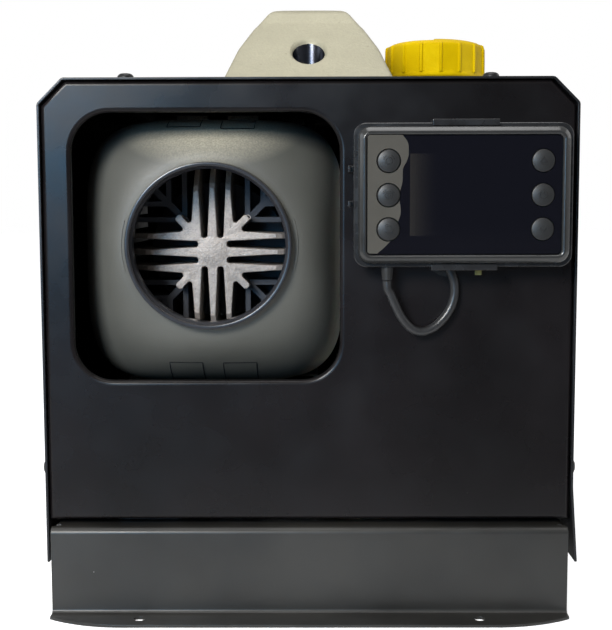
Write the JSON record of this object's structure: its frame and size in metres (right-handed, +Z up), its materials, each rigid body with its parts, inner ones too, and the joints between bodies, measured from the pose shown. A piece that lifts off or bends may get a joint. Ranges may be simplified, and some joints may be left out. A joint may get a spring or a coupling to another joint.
{
  "type": "portable diesel air heater",
  "caption": "Boxed portable diesel air heater: steel case with inset outlet hood and finned exchanger, wall controller, carry handle, tank cap and foot flanges.",
  "frame": {"origin": "centre of the footprint, on the ground under the feet", "axes": "+X to the right seen from the front, +Y to the rear, +Z up; the outlet and controller face -Y"},
  "size_m": [0.268, 0.428, 0.3157],
  "materials": {
    "case_paint": "semi-gloss black powder coat",
    "cast_alloy": "bead-blasted casting",
    "exchanger_alloy": "bare sand-textured casting",
    "hood_plastic": "fine moulded grain",
    "black_plastic": "fine satin",
    "bezel_plastic": "satin with polished edges",
    "screen": "polished dark screen",
    "button_plastic": "satin rubberised",
    "rubber_black": "smooth rubber",
    "plated_steel": "bright zinc",
    "sheet_steel": "brushed",
    "tank_plastic": "natural blow-moulded",
    "cap_yellow": "satin moulded",
    "board": "varnished board",
    "brass": "turned",
    "gasket_fibre": "pressed fibre"
  },
  "bodies": {
    "root": {"base_pan": "case_paint", "front_panel": "case_paint", "rear_panel": "case_paint", "top_cover": "case_paint", "top_screw_left": "case_paint", "top_screw_right": "case_paint", "side_screw_left": "case_paint", "side_screw_right": "case_paint", "carry_handle": "cast_alloy", "handle_screw_front": "plated_steel", "handle_screw_rear": "plated_steel", "heater_stand": "sheet_steel", "foot_gasket": "rubber_black", "outlet_hood": "hood_plastic", "upper_shell": "black_plastic", "lower_shell": "black_plastic", "heat_exchanger": "exchanger_alloy", "combustion_chamber": "sheet_steel", "burner_gasket": "gasket_fibre", "glow_plug": "plated_steel", "overheat_sensor": "black_plastic", "blower_housing": "cast_alloy", "blower_motor": "sheet_steel", "intake_hood": "black_plastic", "control_board": "board", "exhaust_pipe": "sheet_steel", "air_intake_pipe": "sheet_steel", "fuel_tank": "tank_plastic", "tank_grommet": "rubber_black", "tank_strap_front": "sheet_steel", "tank_strap_rear": "sheet_steel", "tank_outlet_fitting": "brass", "fuel_hose_tank": "rubber_black", "fuel_filter": "tank_plastic", "fuel_hose_filter": "rubber_black", "fuel_pump": "plated_steel", "pump_bracket": "rubber_black", "fuel_hose_burner": "rubber_black", "controller_holder": "black_plastic", "controller_back": "black_plastic", "controller_bezel": "bezel_plastic", "controller_glass": "screen", "controller_board": "board", "cable_boot": "rubber_black", "controller_cable": "rubber_black", "panel_grommet": "rubber_black", "power_gland": "black_plastic"},
    "rotor": {"main_fan": "black_plastic", "motor_shaft": "plated_steel", "combustion_impeller": "black_plastic"},
    "cap_seal": {"cap_gasket": "rubber_black"},
    "cap": {"fuel_cap": "cap_yellow"},
    "button_left_upper_key": {"button_left_upper": "button_plastic"},
    "button_left_middle_key": {"button_left_middle": "button_plastic"},
    "button_left_lower_key": {"button_left_lower": "button_plastic"},
    "button_right_upper_key": {"button_right_upper": "button_plastic"},
    "button_right_middle_key": {"button_right_middle": "button_plastic"},
    "button_right_lower_key": {"button_right_lower": "button_plastic"}
  },
  "joints": [
    {"name": "fan_spin", "type": "hinge", "parent": "root", "child": "rotor", "pos_m": [-0.0499, 0, 0.1785], "axis": [0, 1, 0], "continuous": true},
    {"name": "cap_lift", "type": "slide", "parent": "root", "child": "cap_seal", "axis": [0, 0, 1], "range_m": [0, 0.0161]},
    {"name": "cap_turn", "type": "hinge", "parent": "cap_seal", "child": "cap", "pos_m": [0.0805, 0.005, 0.29], "axis": [0, 0, 1], "range_deg": [0, 720]},
    {"name": "press_left_upper", "type": "slide", "parent": "root", "child": "button_left_upper_key", "axis": [0, 1, 0], "range_m": [0, 0.0008], "stiffness_N_per_m": 200},
    {"name": "press_left_middle", "type": "slide", "parent": "root", "child": "button_left_middle_key", "axis": [0, 1, 0], "range_m": [0, 0.0008], "stiffness_N_per_m": 200},
    {"name": "press_left_lower", "type": "slide", "parent": "root", "child": "button_left_lower_key", "axis": [0, 1, 0], "range_m": [0, 0.0008], "stiffness_N_per_m": 200},
    {"name": "press_right_upper", "type": "slide", "parent": "root", "child": "button_right_upper_key", "axis": [0, 1, 0], "range_m": [0, 0.0008], "stiffness_N_per_m": 200},
    {"name": "press_right_middle", "type": "slide", "parent": "root", "child": "button_right_middle_key", "axis": [0, 1, 0], "range_m": [0, 0.0008], "stiffness_N_per_m": 200},
    {"name": "press_right_lower", "type": "slide", "parent": "root", "child": "button_right_lower_key", "axis": [0, 1, 0], "range_m": [0, 0.0008], "stiffness_N_per_m": 200}
  ],
  "couplings": [
    {"joint": "cap_lift", "follows": "cap_turn", "m_per_rad": 0.0012732}
  ]
}
